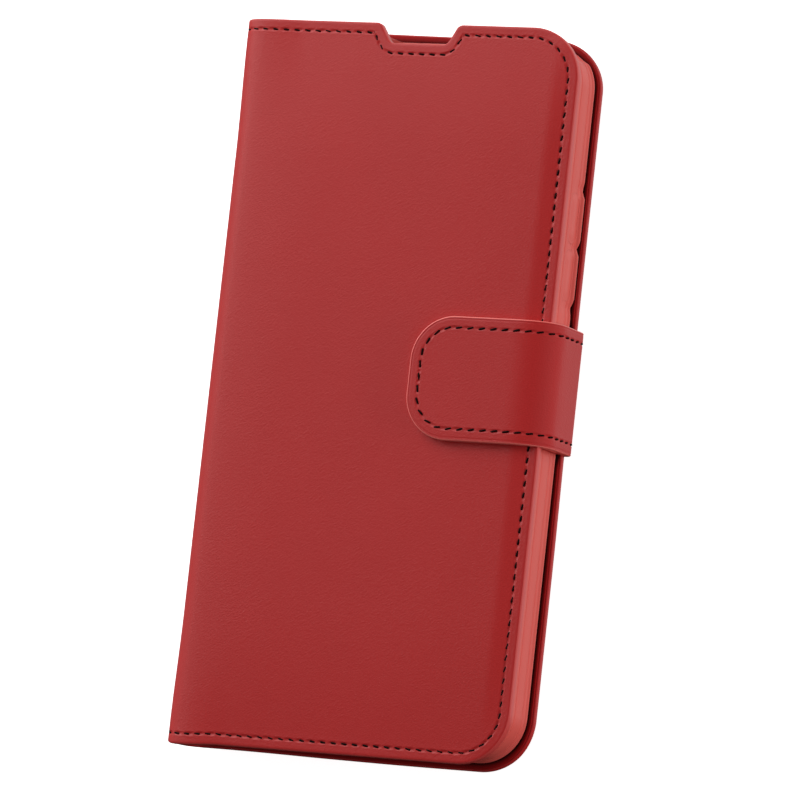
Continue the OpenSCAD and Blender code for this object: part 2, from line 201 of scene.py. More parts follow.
# Dark red lining; in its narrow gaps the material paints shade by ambient occlusion.
LINING = material("dark_lining", (0.33, 0.007, 0.008), 0.6, grain=0.3, grain_scale=1600,
                  specular=0.06, bevel=0.0002, gap_shade_reach=0.003)
SHELL = material("coral_shell", (0.68, 0.098, 0.080), 0.4, grain=0.05, grain_scale=2600,
                 specular=0.3, variation=0.015, bevel=0.0002)
# Near-black thread: the thread is real, but its dark red is deepened to the painted shade of the deep stitch
# holes.
SHADED_THREAD = material("dark_thread", (0.007, 0.001, 0.001), 0.75, grain=0.8, grain_scale=3500, specular=0.08)
BOARD = material("grey_board", (0.3, 0.27, 0.22), 0.85, grain=0.5, grain_scale=1200)
FOAM = material("white_foam", (0.82, 0.8, 0.74), 0.9, grain=0.6, grain_scale=1500)
GLUE = material("clear_glue", (0.7, 0.66, 0.5), 0.3, grain=0.1)
STEEL = material("bare_steel", (0.6, 0.6, 0.62), 0.3, grain=0.1, grain_scale=3000)
STEEL.node_tree.nodes["Principled BSDF"].inputs["Metallic"].default_value = 1.0

CAD_LOOKS = {
    "outer_leather": LEATHER, "pocket_leather": POCKET_LEATHER, "lining": LINING, "thread": SHADED_THREAD,
    "shell_tpu": SHELL, "board": BOARD, "padding": FOAM, "adhesive": GLUE, "steel": STEEL,
}


def dress_cad_nodes():
    """Gives every CAD node the material of its slot in the record."""
    for part in frame["record"]["subparts"]:
        mesh = frame["nodes"][part["node"]].data
        mesh.materials.clear()
        mesh.materials.append(CAD_LOOKS[part["material_slot"]])


# ---- Mesh helpers ----

def new_piece(name, points, faces, look):
    """A mesh object from points in millimetres."""
    mesh = bpy.data.meshes.new(name)
    mesh.from_pydata([tuple(c * MM for c in p) for p in points], [], faces)
    mesh.validate()
    mesh.update()
    mesh.materials.append(look)
    piece = bpy.data.objects.new(name, mesh)
    bpy.context.scene.collection.objects.link(piece)
    return piece


def rounded_path(corners, inset):
    """Points of an open path with rounded corners, moved inset to the left of its direction.

    corners are (x, y, radius, steps round the corner, spacing to the next one); the first and last have no
    radius. The count of points doesn't depend on the inset.
    """
    places = [Vector((c[0], c[1])) for c in corners]
    ways = [(b - a).normalized() for a, b in zip(places, places[1:])]
    sides = [Vector((-w.y, w.x)) for w in ways]
    moved = [places[0] + sides[0] * inset]
    for i in range(1, len(places) - 1):
        mitre = (sides[i - 1] + sides[i]) / (1 + sides[i - 1].dot(sides[i]))
        moved.append(places[i] + mitre * inset)
    moved.append(places[-1] + sides[-1] * inset)

    arcs = []
    for i in range(1, len(places) - 1):
        turn = ways[i - 1].x * ways[i].y - ways[i - 1].y * ways[i].x
        half = math.acos(max(-1.0, min(1.0, ways[i - 1].dot(ways[i])))) / 2
        room = 0.9 * min((moved[i] - moved[i - 1]).length, (moved[i + 1] - moved[i]).length)
        radius = max(corners[i][2] - inset, 0.2) if turn > 0 else corners[i][2] + inset
        radius = min(radius, room / math.tan(half))
        reach = radius * math.tan(half)
        start = moved[i] - ways[i - 1] * reach
        normal = sides[i - 1] if turn > 0 else -sides[i - 1]
        centre = start + normal * radius
        sign = 1 if turn > 0 else -1
        arc = []
        steps = corners[i][3]
        for k in range(steps + 1):
            angle = sign * 2 * half * k / steps
            arm = start - centre
            arc.append(centre + Vector((arm.x * math.cos(angle) - arm.y * math.sin(angle),
                                        arm.x * math.sin(angle) + arm.y * math.cos(angle))))
        arcs.append(arc)

    points = [moved[0]]
    for i in range(len(places) - 1):
        end = arcs[i][0] if i < len(arcs) else moved[-1]
        count = max(1, round((places[i + 1] - places[i]).length / corners[i][4]))
        start = points[-1]
        points += [start.lerp(end, k / count) for k in range(1, count + 1)]
        if i < len(arcs):
            points += arcs[i][1:]
    return points


def fill_inside(ring, inner_points, hole=None):
    """Triangles between a closed ring, loose points inside it and an optional hole."""
    loops = [ring] + ([hole] if hole else [])
    points, edges = [], []
    for loop in loops:
        first = len(points)
        points += loop
        edges += [(first + k, first + (k + 1) % len(loop)) for k in range(len(loop))]
    points += inner_points
    found = delaunay_2d_cdt([Vector(p) for p in points], edges, [], 1, 1e-4)
    return found[0], found[2]


def smooth(x, low, high):
    """0 up to low, 1 from high, and a soft step between them."""
    t = max(0.0, min(1.0, (x - low) / (high - low)))
    return t * t * (3 - 2 * t)


def inside(points, ring):
    """For each point, whether it lies inside the closed ring."""
    ends = np.array([(p[0], p[1]) for p in ring])
    found = np.zeros(len(points), bool)
    x, y = points[:, 0], points[:, 1]
    for (ax, ay), (bx, by) in zip(ends, np.roll(ends, -1, axis=0)):
        if ay != by:
            crosses = (ay > y) != (by > y)
            found ^= crosses & (x < (bx - ax) * (y - ay) / (by - ay) + ax)
    return found


def inner_grid(columns, rows, ring, hole_ring=None):
    """Points where the columns and rows cross inside the ring and outside the hole."""
    grid = np.array([(x, y) for x in columns for y in rows])
    keep = inside(grid, ring)
    if hole_ring:
        keep &= ~inside(grid, hole_ring)
    return [Vector(p) for p in grid[keep]]


def spaced(low, high, step):
    """Even places between low and high, without the ends."""
    count = max(1, round((high - low) / step))
    return [low + (high - low) * k / count for k in range(1, count)]


def sheet_piece(name, outline, chain, lift, wrap, columns, rows, look, closed=False, hole=None,
                hole_chain=None, cut_step=2.5, extra=(), rim=None):
    """A closed piece of sheet from its flat outline.

    outline(inset) gives the edge as points; an open outline starts and ends on a straight cut. chain lists
    (inset, height) round the edge, from one face to the other, and its ends have the same inset. lift(x, y,
    inset, height, along) gives the final height and wrap(x, y, height) the place in space; along is the
    share of the edge's length. rim is a second material for the faces on the edge itself: a lighter copy of
    the leather, a painted highlight of the light that the edge catches.
    """
    points, faces, rim_faces = [], [], []

    def add_rings(make, levels, cyclic, flip):
        rings = []
        for inset, height in levels:
            ring = make(inset)
            first = len(points)
            for k, p in enumerate(ring):
                along = k / (len(ring) - (0 if cyclic else 1))
                points.append(wrap(p.x, p.y, lift(p.x, p.y, inset, height, along)))
            rings.append(list(range(first, first + len(ring))))
        for number, (a, b) in enumerate(zip(rings, rings[1:])):
            last = len(a) if cyclic else len(a) - 1
            if rim and not flip and max(levels[number][0], levels[number + 1][0]) < RIM_W:
                rim_faces.extend(range(len(faces), len(faces) + last))
            for k in range(last):
                n = (k + 1) % len(a)
                quad = (a[k], a[n], b[n], b[k])
                faces.append(quad[::-1] if flip else quad)
        return rings

    rings = add_rings(outline, chain, closed, False)
    end_inset = chain[0][0]
    edge = outline(end_inset)
    cut = []
    if not closed:
        a, b = edge[-1], edge[0]
        count = max(1, round((b - a).length / cut_step))
        cut = [a.lerp(b, k / count) for k in range(1, count)]
    margin = outline(end_inset + 0.9)
    hole_edge, hole_margin, hole_rings = None, None, []
    if hole:
        hole_rings = add_rings(hole, hole_chain, True, True)
        hole_edge = hole(hole_chain[0][0])
        hole_margin = hole(hole_chain[0][0] + 0.9)
    loose = inner_grid(columns, rows, margin, hole_margin) if columns else []
    loose += list(extra)
    flat, triangles = fill_inside(edge + cut, loose, hole_edge)
    if hole:
        middles = np.array([sum((flat[i] for i in t), Vector((0, 0))) / 3 for t in triangles])
        shut = inside(middles, hole_edge)
        triangles = [t for t, bad in zip(triangles, shut) if not bad]

    cuts = []
    for side in (0, -1):
        height = chain[side][1]
        ids = list(rings[side])
        first = len(points)
        for p in cut:
            points.append(wrap(p.x, p.y, lift(p.x, p.y, 99, height, 0)))
        cuts.append(list(range(first, len(points))))
        ids += cuts[-1]
        if hole:
            ids += hole_rings[side]
        first = len(points)
        for p in loose:
            points.append(wrap(p.x, p.y, lift(p.x, p.y, 99, height, 0)))
        ids += list(range(first, len(points)))
        for t in triangles:
            tri = [ids[i] for i in t]
            faces.append(tri if side == 0 else tri[::-1])
    if not closed:
        starts = [ring[0] for ring in rings]
        ends = [ring[-1] for ring in rings]
        faces.append(starts + cuts[1][::-1] + ends[::-1] + cuts[0])

    piece = new_piece(name, points, faces, look)
    if rim:
        piece.data.materials.append(rim)
        for number in rim_faces:
            piece.data.polygons[number].material_index = 1
    finish_mesh(piece)
    return piece


def keep_height(x, y, inset, height, along):
    """The plain lift: every point keeps the height that the chain gives it."""
    return height


def finish_mesh(piece, angle=50):
    """Turns all faces outward and keeps edges sharper than the angle crisp."""
    work = bmesh.new()
    work.from_mesh(piece.data)
    bmesh.ops.remove_doubles(work, verts=work.verts, dist=1e-7)
    bmesh.ops.recalc_face_normals(work, faces=work.faces)
    open_edges = sum(not e.is_manifold for e in work.edges)
    work.to_mesh(piece.data)
    work.free()
    piece.data.polygons.foreach_set("use_smooth", [True] * len(piece.data.polygons))
    piece.data.set_sharp_from_angle(angle=math.radians(angle))
    if open_edges:
        print("open edges", piece.name, open_edges)


def lengths(path):
    """Length along the path up to each of its points."""
    total = [0.0]
    for a, b in zip(path, path[1:]):
        total.append(total[-1] + (b - a).length)
    return total


def place_on(path, total, at):
    """Point and direction at a distance along the path."""
    k = max(1, min(len(path) - 1, int(np.searchsorted(total, at))))
    share = (at - total[k - 1]) / max(total[k] - total[k - 1], 1e-9)
    a, b = path[k - 1], path[k]
    return a.lerp(b, share), (b - a).normalized()


def stitch_row(points, faces, path, wrap, base, pitch=STITCH_PITCH, length=1.75, width=0.46, slant=-12,
               keep=None, over=None):
    """Adds one stitch per pitch along the path, each a slanted round bar that dips into the leather."""
    total = lengths(path)
    count = max(1, round(total[-1] / pitch))
    for i in range(count):
        middle, way = place_on(path, total, (i + 0.5) * total[-1] / count)
        if keep and not keep(middle):
            continue
        turn = math.radians(slant + 4 * math.sin(i * 12.9898))
        way = Vector((way.x * math.cos(turn) - way.y * math.sin(turn),
                      way.x * math.sin(turn) + way.y * math.cos(turn)))
        side = Vector((-way.y, way.x))
        first = len(points)
        stations, sides = 7, 8
        for j in range(stations):
            u = 2 * j / (stations - 1) - 1
            radius = width / 2 * (1 - 0.5 * abs(u) ** 5)
            rise = base + 0.1 - 0.3 * abs(u) ** 6
            for k in range(sides):
                angle = 2 * math.pi * k / sides
                spot = middle + way * (u * length / 2) + side * (radius * math.cos(angle))
                lifted = rise + 0.75 * radius * math.sin(angle) + (over(spot.x, spot.y) if over else 0)
                points.append(wrap(spot.x, spot.y, lifted))
        for j in range(stations - 1):
            for k in range(sides):
                n = (k + 1) % sides
                a, b = first + j * sides, first + (j + 1) * sides
                faces.append((a + k, a + n, b + n, b + k))
        faces.append(tuple(first + k for k in range(sides))[::-1])
        faces.append(tuple(first + (stations - 1) * sides + k for k in range(sides)))


def stitches(name, rows):
    """One piece of thread from several rows, each the arguments of stitch_row."""
    points, faces = [], []
    for row in rows:
        stitch_row(points, faces, **row)
    piece = new_piece(name, points, faces, SHADED_THREAD)
    finish_mesh(piece, 70)
    return piece


# ---- Covers ----

def front_wrap(x, y, h):
    """Place of a point of the front half's unrolled sheet: panel, then crease, then down the spine."""
    run = PANEL_X - x
    # The spine flares out slightly towards its ends
    h += 0.35 * smooth(run, 0, 4) * smooth(abs(y), HALF_L - 30, HALF_L - 4)
    if run <= 0:
        return (x, y, TOP_Z + h)
    if run < ARC:
        angle = run / SPINE_R
        reach = SPINE_R + h
        return (PANEL_X - reach * math.sin(angle), y, TOP_Z - SPINE_R + reach * math.cos(angle))
    return (SPINE_X - h, y, TOP_Z - SPINE_R - (run - ARC))


def front_skewed(x, y, h):
    """As front_wrap, with the cover's bottom corner at the spine drawn out a little."""
    corner = smooth(x, PANEL_X - 5.6, PANEL_X - 2.2) * (1 - smooth(x, PANEL_X, PANEL_X + 9))
    return front_wrap(x, y - 0.45 * corner * smooth(-y, HALF_L - 12, HALF_L - 2), h)


def back_wrap(x, y, h):
    """Place of a point of the back half's unrolled sheet, whose opening edge sits a little askew."""
    drop = 0.35 * smooth(x, PANEL_X + 10, EDGE_X - 25)
    rise = 0.2 * smooth(x, SPINE_MID, PANEL_X) * (1 - smooth(x, PANEL_X, PANEL_X + 30))
    y += (rise - drop) * smooth(abs(y), HALF_L - 12, HALF_L - 3)
    x += 0.2 * smooth(x, EDGE_X - 12, EDGE_X - 2) * smooth(-y, 0, 40)
    px, py, pz = front_wrap(x, y, h)
    return (px, py, TOP_Z - pz)


FINE = STITCH_PITCH / 6


def edge_corners(middle):
    """Corners of a cover's unrolled outline with the given corners between its two round ones."""
    return [
        (SPINE_MID, -HALF_L, 0, 0, FINE),
        (EDGE_X, -HALF_L, CORNER_R, 44, FINE),
        (EDGE_X, HALF_L, CORNER_R, 44, FINE),
        *middle,
        (SPINE_MID, HALF_L, 0, 0, FINE),
    ]


def front_edge(inset):
    """Outline of the front half, with the earpiece notch."""
    slope = NOTCH_SLOPE * NOTCH_D
    return rounded_path(edge_corners([
        (NOTCH_HIGH + 0.77 * slope, HALF_L, NOTCH_R, 8, FINE),
        (NOTCH_HIGH, HALF_L - NOTCH_D, NOTCH_R, 8, FINE),
        (NOTCH_LOW, HALF_L - NOTCH_D, NOTCH_R, 8, FINE),
        (NOTCH_LOW - slope, HALF_L, NOTCH_R, 8, FINE),
    ]), inset)


def back_edge(inset):
    return rounded_path(edge_corners([]), inset)


def in_crease(x):
    """1 in the crease, where there is no board, and 0 on the panel and the spine."""
    return smooth(x, PANEL_X - ARC - 1.5, PANEL_X - ARC) * (1 - smooth(x, PANEL_X, PANEL_X + 1.5))


def crown_ramp(x):
    """Rise of the soft middle from the crease: steepest there, so that the cover stays convex."""
    t = max(0.0, min(1.0, (x - PANEL_X + 3) / 24))
    return (1 - (1 - t) ** 2.7) * smooth(x, PANEL_X - 3, PANEL_X + 1.5)


def ripple(x, y):
    """Very slight unevenness of leather over foam."""
    return (math.sin(x * 0.21 + 1.3 * math.sin(y * 0.11)) * math.sin(y * 0.17 + math.sin(x * 0.13))
            + 0.5 * math.sin(x * 0.47 + y * 0.31))


SEAM_STEPS = (1.0, 0.8, 0.62, 0.45, 0.3, 0.15, 0.0, -0.15, -0.3, -0.45, -0.62, -0.8, -1.0)


def seam_relief(away, along, count):
    """Height beside a seam line: a narrow groove that each stitch pulls deeper, between two soft rims."""
    pull = 0.52 + 0.48 * math.cos(2 * math.pi * (along * count - 0.5))
    groove = max(0.0, 1 - (away / 0.42) ** 2)
    rims = math.exp(-((abs(away) - 0.62) / 0.2) ** 2)
    return (0.02 * rims - 0.22 * groove) * pull


def edge_chain(thick, end_inset, top_r=0.45, low_r=0.35, crown_steps=9):
    """Edge of a skin from its outer face at end_inset, over the turned edge and back on its inner face."""
    inner = SEAM_IN + SEAM_STEPS[0]
    out = [inner + (end_inset - inner) * (k / crown_steps) for k in range(crown_steps, 0, -1)]
    out += [SEAM_IN + step for step in SEAM_STEPS] + [1.05, 0.75]
    chain = [(inset, 0.0) for inset in out]
    for k in range(1, 7):
        angle = math.pi / 2 * k / 6
        chain.append((top_r * (1 - math.sin(angle)), -top_r * (1 - math.cos(angle))))
    low = -thick
    chain.append((0, (low - top_r) / 2))
    for k in range(5):
        angle = math.pi / 2 * k / 4
        chain.append((low_r * (1 - math.cos(angle)), low + low_r * (1 - math.sin(angle))))
    chain += [(TURN_W, low), (TURN_W + 0.1, -SKIN_T - 0.12), (2.4, -SKIN_T)]
    chain += [(inset, -SKIN_T) for inset in (4.5, 7.5, end_inset)]
    return chain


def padded_middle(x, y):
    """Height of the front cover's soft middle: quick to rise beside the opening edge, slow elsewhere."""
    from_side = max(0.0, EDGE_X - x - 2.75)
    from_end = max(0.0, HALF_L - abs(y) - 2.0)
    near = 1 - (1 - min(1.0, from_side / 3.3)) ** 1.25
    far = 1 - (1 - min(1.0, from_side / 28)) ** 2
    ends = 1 - (1 - min(1.0, from_end / 30)) ** 2
    ends += (1 - ends) * (1 - smooth(x, PANEL_X - 2, PANEL_X + 12))
    return CROWN_H * (0.75 * near + 0.25 * far) * ends * crown_ramp(x)


def skin_lift(seam_count, middle, sink, recess=None):
    """Heights of a skin: its middle, its seam's groove, and its thinner edge along the crease.

    middle(x, y) is the height of the cover's middle; sink is how far its border lies below that.
    """
    def lift(x, y, inset, height, along):
        sunk = sink * (1 - smooth(inset, 2.75, 4.6)) * smooth(x, PANEL_X - 1, PANEL_X + 5)
        outer = height == 0.0
        if outer or height == -SKIN_T:
            height += middle(x, y) - sunk
            height += 0.015 * ripple(x, y) * smooth(inset, 3, 11) * crown_ramp(x)
        else:
            if height < -SKIN_T - 0.2:
                height -= height * 0.3 * in_crease(x)
            height += (middle(x, y) - sunk) * smooth(height, -1.2, -0.4)
        if outer:
            height += seam_relief(inset - SEAM_IN, along, seam_count)
            if recess:
                height -= recess(x, y)
        return height
    return lift


def seam_count(outline, inset=SEAM_IN, pitch=STITCH_PITCH):
    return max(1, round(lengths(outline(inset))[-1] / pitch))


def cover_columns():
    """Places across a cover's sheet, closer together over the crease."""
    fine = [SPINE_MID + 0.6 * k for k in range(1, int((PANEL_X + 1.5 - SPINE_MID) / 0.6))]
    near = [fine[-1] + 1.25 * k for k in range(1, 7)]
    return fine + near + [near[-1] + 2.5 * k for k in range(1, 32)]


ROWS = spaced(-HALF_L, HALF_L, 2.5)

# Camera window through the back cover and the shell
SHELL_LOW, SHELL_HIGH = box_mm("phone_shell")
SHELL_X = (SHELL_LOW.x + SHELL_HIGH.x) / 2
SHELL_W, SHELL_L = SHELL_HIGH.x - SHELL_LOW.x, SHELL_HIGH.y - SHELL_LOW.y
SHELL_H = SHELL_HIGH.z - SHELL_LOW.z
SHELL_R, WALL_T, FLOOR_T, LIP_W = 10.5, 1.6, 1.2, 0.9
WINDOW_W, WINDOW_L, WINDOW_R = 26.0, 44.0, 8.0
WINDOW_X = SHELL_X + SHELL_W / 2 - WALL_T - 3.3 - WINDOW_W / 2
WINDOW_Y = SHELL_L / 2 - WALL_T - 3.7 - WINDOW_L / 2


def plate_edge(x, y, width, length, radius, inset=0.0, spacing=0.8, steps=12):
    """Closed outline of a round-cornered plate, from the middle of its right side."""
    w, l = width / 2, length / 2
    path = rounded_path([
        (x + w, y, 0, 0, spacing),
        (x + w, y + l, radius, steps, spacing),
        (x - w, y + l, radius, steps, spacing),
        (x - w, y - l, radius, steps, spacing),
        (x + w, y - l, radius, steps, spacing),
        (x + w, y, 0, 0, spacing),
    ], inset)
    return path[:-1]


def window_edge(grow):
    return plate_edge(WINDOW_X, WINDOW_Y, WINDOW_W, WINDOW_L, WINDOW_R, -grow, 0.8, 16)


STRAP_LOW, STRAP_HIGH = box_mm("strap_side_skin")
STRAP_W = STRAP_HIGH.y - STRAP_LOW.y
STRAP_Y = (STRAP_LOW.y + STRAP_HIGH.y) / 2
STRAP_X = STRAP_HIGH.x
BASE_X = box_mm("strap_base_skin")[0].x
BASE_R = 4.0
TAB_X = box_mm("strap_tab_skin")[0].x
TAB_R = 10.2
LOW_BEND_R = STRAP_X - EDGE_X
TAB_TOP = box_mm("strap_tab_skin")[1].z
HIGH_BEND_X, HIGH_BEND_Z = 10.5, 8.0      # the upper bend is a soft curve, tighter in its middle
BEND_POWER = 2 / 2.5
STRAP_SEAM_IN = 2.6
STRAP_PITCH = 2.8


def base_recess(x, y):
    """Depth of the hollow in the back skin in which the strap's end lies."""
    half = Vector((EDGE_X + 20 - BASE_X, STRAP_W)) / 2
    qx = abs(x - (BASE_X + half.x)) - half.x + BASE_R
    qy = abs(y - STRAP_Y) - half.y + BASE_R
    away = math.hypot(max(qx, 0), max(qy, 0)) + min(max(qx, qy), 0) - BASE_R
    return (SKIN_T + 0.04) * (1 - smooth(away, -0.25, 0.3))


def base_outline_points():
    """Loose points on both sides of the hollow's edge, so that it comes out crisp."""
    found = []
    for grow in (-0.3, 0.02, 0.35):
        ring = plate_edge(BASE_X + 20, STRAP_Y, 40 + 2 * grow, STRAP_W + 2 * grow, BASE_R + grow, 0, 0.6, 10)
        found += [p for p in ring if p.x < EDGE_X - 5.6]
    return found


def front_half():
    """Outer skin of the front cover with the front crease and half of the spine."""
    lift = skin_lift(seam_count(front_edge), padded_middle, 0.0)
    # The turned edge gets the lighter leather, a painted highlight.
    skin = sheet_piece("front_leather", front_edge, edge_chain(COVER_T - LINING_T, 11.2), lift, front_skewed,
                       cover_columns(), ROWS, LEATHER, rim=LIT_EDGE_LEATHER)
    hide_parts("front_skin", "front_crease", "spine_skin")
    return skin


def back_half():
    """Outer skin of the back cover with the back crease and the other half of the spine."""
    lift = skin_lift(seam_count(back_edge), lambda x, y: 0.0, 0.28, base_recess)
    window_chain = [(0.9, 0.0), (0.45, 0.0), (0.2, -0.06), (0.05, -0.2), (0, -0.45), (0, -1.2), (0, -1.95),
                    (0.9, -1.95), (0.9, -SKIN_T)]
    skin = sheet_piece("back_leather", back_edge, edge_chain(COVER_T - LINING_T, 4.7, crown_steps=3), lift,
                       back_wrap, cover_columns(), ROWS, LEATHER,
                       hole=window_edge, hole_chain=window_chain, extra=base_outline_points())
    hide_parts("back_skin", "back_crease", "spine_skin")
    return skin


def lining_lift(x, y, inset, height, along):
    """The lining lies closer to the skin in the creases, where there is no board."""
    return height + 1.12 * in_crease(x)


def lining_chain(high, low):
    turn = 0.12
    return [(3.0, high), (1.2, high), (turn, high), (0, high - turn), (0, low + turn), (turn, low),
            (1.2, low), (3.0, low)]


def linings():
    """Linings of both covers, each with its half of the spine's."""
    high, low = -(COVER_T - LINING_T), -COVER_T
    front = sheet_piece("front_inside", lambda inset: front_edge(LINING_IN + inset), lining_chain(high, low),
                        lining_lift, front_skewed, cover_columns(), ROWS, LINING)
    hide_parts("front_lining", "spine_lining")
    window_chain = [(0.7, high), (0.1, high), (0, high - 0.1), (0, low + 0.1), (0.1, low), (0.7, low)]
    back = sheet_piece("back_inside", lambda inset: back_edge(LINING_IN + inset), lining_chain(high, low),
                       lining_lift, back_wrap, cover_columns(), ROWS, LINING,
                       hole=window_edge, hole_chain=window_chain)
    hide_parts("back_lining", "spine_lining")
    return front, back


def cover_stitches():
    """Edge seams of both covers; the back's leaves out where the strap is sewn on."""
    front = stitches("front_stitches", [dict(path=front_edge(SEAM_IN), wrap=front_skewed, base=-0.2,
                                             over=padded_middle)])
    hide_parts("front_thread", "spine_thread")

    def clear_of_strap(p):
        return base_recess(p.x, p.y) < 0.01

    back = stitches("back_stitches", [dict(path=back_edge(SEAM_IN), wrap=back_wrap, base=-0.45,
                                           keep=clear_of_strap)])
    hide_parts("back_thread", "spine_thread")
    return front, back


# ---- Strap ----

def strap_line():
    """Outer face of the strap seen along Y, as x, z and the outward direction, by length along it."""
    spots = []
    for k in range(176):
        spots.append((BASE_X + (EDGE_X - BASE_X) * k / 175, 0.0))
    for k in range(1, 25):
        angle = math.pi / 2 * k / 24
        spots.append((EDGE_X + LOW_BEND_R * math.sin(angle), LOW_BEND_R * (1 - math.cos(angle))))
    rise = TAB_TOP - HIGH_BEND_Z - LOW_BEND_R
    spots += [(STRAP_X, LOW_BEND_R + rise * k / 40) for k in range(1, 41)]
    for k in range(1, 61):
        angle = math.pi / 2 * k / 60
        spots.append((STRAP_X - HIGH_BEND_X * (1 - math.cos(angle) ** BEND_POWER),
                      TAB_TOP - HIGH_BEND_Z * (1 - math.sin(angle) ** BEND_POWER)))
    start = STRAP_X - HIGH_BEND_X
    spots += [(start + (TAB_X - start) * k / 160, TAB_TOP) for k in range(1, 161)]
    spots = np.array(spots)
    steps = np.hypot(*np.diff(spots, axis=0).T)
    way = np.gradient(spots, axis=0)
    way /= np.hypot(way[:, 0], way[:, 1])[:, None]
    return np.concatenate([[0], np.cumsum(steps)]), spots, np.stack([way[:, 1], -way[:, 0]], axis=1)


STRAP_S, STRAP_SPOTS, STRAP_OUT = strap_line()
STRAP_END = float(STRAP_S[-1])
BEND_S = EDGE_X - BASE_X + LOW_BEND_R * math.pi / 2
SIDE_MID = BEND_S + (TAB_TOP - HIGH_BEND_Z - LOW_BEND_R) / 2


def strap_wrap(s, y, h):
    """Place of a point of the strap's unrolled sheet; s runs along the strap and h is outward."""
    x = np.interp(s, STRAP_S, STRAP_SPOTS[:, 0])
    z = np.interp(s, STRAP_S, STRAP_SPOTS[:, 1])
    out_x = np.interp(s, STRAP_S, STRAP_OUT[:, 0])
    out_z = np.interp(s, STRAP_S, STRAP_OUT[:, 1])
    return (float(x + out_x * h), y, float(z + out_z * h))


STRAP_FINE = STRAP_PITCH / 6


def upper_edge(inset):
    low, high = STRAP_Y - STRAP_W / 2, STRAP_Y + STRAP_W / 2
    return rounded_path([
        (SIDE_MID, low, 0, 0, STRAP_FINE),
        (STRAP_END, low, TAB_R, 32, STRAP_FINE),
        (STRAP_END, high, TAB_R, 32, STRAP_FINE),
        (SIDE_MID, high, 0, 0, STRAP_FINE),
    ], inset)


def lower_edge(inset, end=0.0, radius=BASE_R):
    low, high = STRAP_Y - STRAP_W / 2, STRAP_Y + STRAP_W / 2
    return rounded_path([
        (SIDE_MID, high, 0, 0, STRAP_FINE),
        (end, high, radius, 12, STRAP_FINE),
        (end, low, radius, 12, STRAP_FINE),
        (SIDE_MID, low, 0, 0, STRAP_FINE),
    ], inset)


def strap_columns(low, high):
    return [s for s in np.arange(low + 0.4, high, 0.4)
            if BEND_S - 4.2 < s < BEND_S + 1 or SIDE_MID + 5.5 < s < SIDE_MID + 22 or int(s / 0.4) % 6 == 0]


def layer_chain(high, low, end_inset, groove=True, turn=0.36):
    """Edge of one strap layer with rounded rims; groove adds the seam's and the one beside the rim."""
    chain = [(end_inset, high)]
    chain += [(STRAP_SEAM_IN + step, high) for step in SEAM_STEPS] if groove else []
    chain += [(1.0, high), (0.75, high)]
    chain += [(0.58, high - 0.07), (0.42, high)] if groove else []
    for k in range(1, 7):
        angle = math.pi / 2 * k / 6
        chain.append((turn * (1 - math.sin(angle)), high - turn * (1 - math.cos(angle))))
    low_turn = 0.2
    for k in range(5):
        angle = math.pi / 2 * k / 4
        chain.append((low_turn * (1 - math.cos(angle)), low + low_turn * (1 - math.sin(angle))))
    return chain + [(1.0, low), (end_inset, low)]


def strap_lift(count, seam_from=-1.0):
    def lift(s, y, inset, height, along):
        if height == 0.0 and s > seam_from:
            height += 0.8 * seam_relief(inset - STRAP_SEAM_IN, along, count)
        return height
    return lift


def strap_layers():
    """Outer skin and inner lining of the strap, each in two pieces that meet half way up its side."""
    upper_count = seam_count(upper_edge, STRAP_SEAM_IN, STRAP_PITCH)
    lower_count = seam_count(lower_edge, STRAP_SEAM_IN, STRAP_PITCH)
    rows = spaced(STRAP_Y - STRAP_W / 2, STRAP_Y + STRAP_W / 2, 2.0)
    split = -SKIN_T + 0.03
    # The skins' rims get the lighter strap leather, a painted highlight.
    upper_skin = sheet_piece("strap_tab_leather", upper_edge, layer_chain(0, split, 4.4),
                             strap_lift(upper_count), strap_wrap, strap_columns(SIDE_MID, STRAP_END), rows,
                             LEATHER, cut_step=2.0, rim=STRAP_RIM_HIGHLIGHT)
    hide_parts("strap_tab_skin", "strap_front_bend", "strap_side_skin")
    high, low = -SKIN_T - 0.03, -2 * SKIN_T + 0.08
    upper_lining = sheet_piece("strap_tab_inside", lambda inset: upper_edge(inset + 0.1),
                               layer_chain(high, low, 4.4, False, 0.2), keep_height, strap_wrap,
                               strap_columns(SIDE_MID, STRAP_END), rows, LEATHER,
                               cut_step=2.0)
    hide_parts("strap_tab_lining", "strap_side_lining", "strap_magnet")
    lower_skin = sheet_piece("strap_root_leather", lower_edge, layer_chain(0, split, 3.8),
                             strap_lift(lower_count), strap_wrap, strap_columns(0, SIDE_MID), rows,
                             LEATHER, cut_step=2.0, rim=STRAP_RIM_HIGHLIGHT)
    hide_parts("strap_base_skin", "strap_back_bend", "strap_side_skin")
    lower_lining = sheet_piece("strap_root_inside", lambda inset: lower_edge(inset + 0.1, BEND_S + 0.2, 1.0),
                               layer_chain(high, low, 1.6, False, 0.2), keep_height, strap_wrap,
                               strap_columns(BEND_S, SIDE_MID), rows, LEATHER, cut_step=2.0)
    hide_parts("strap_side_lining")
    return upper_skin, upper_lining, lower_skin, lower_lining


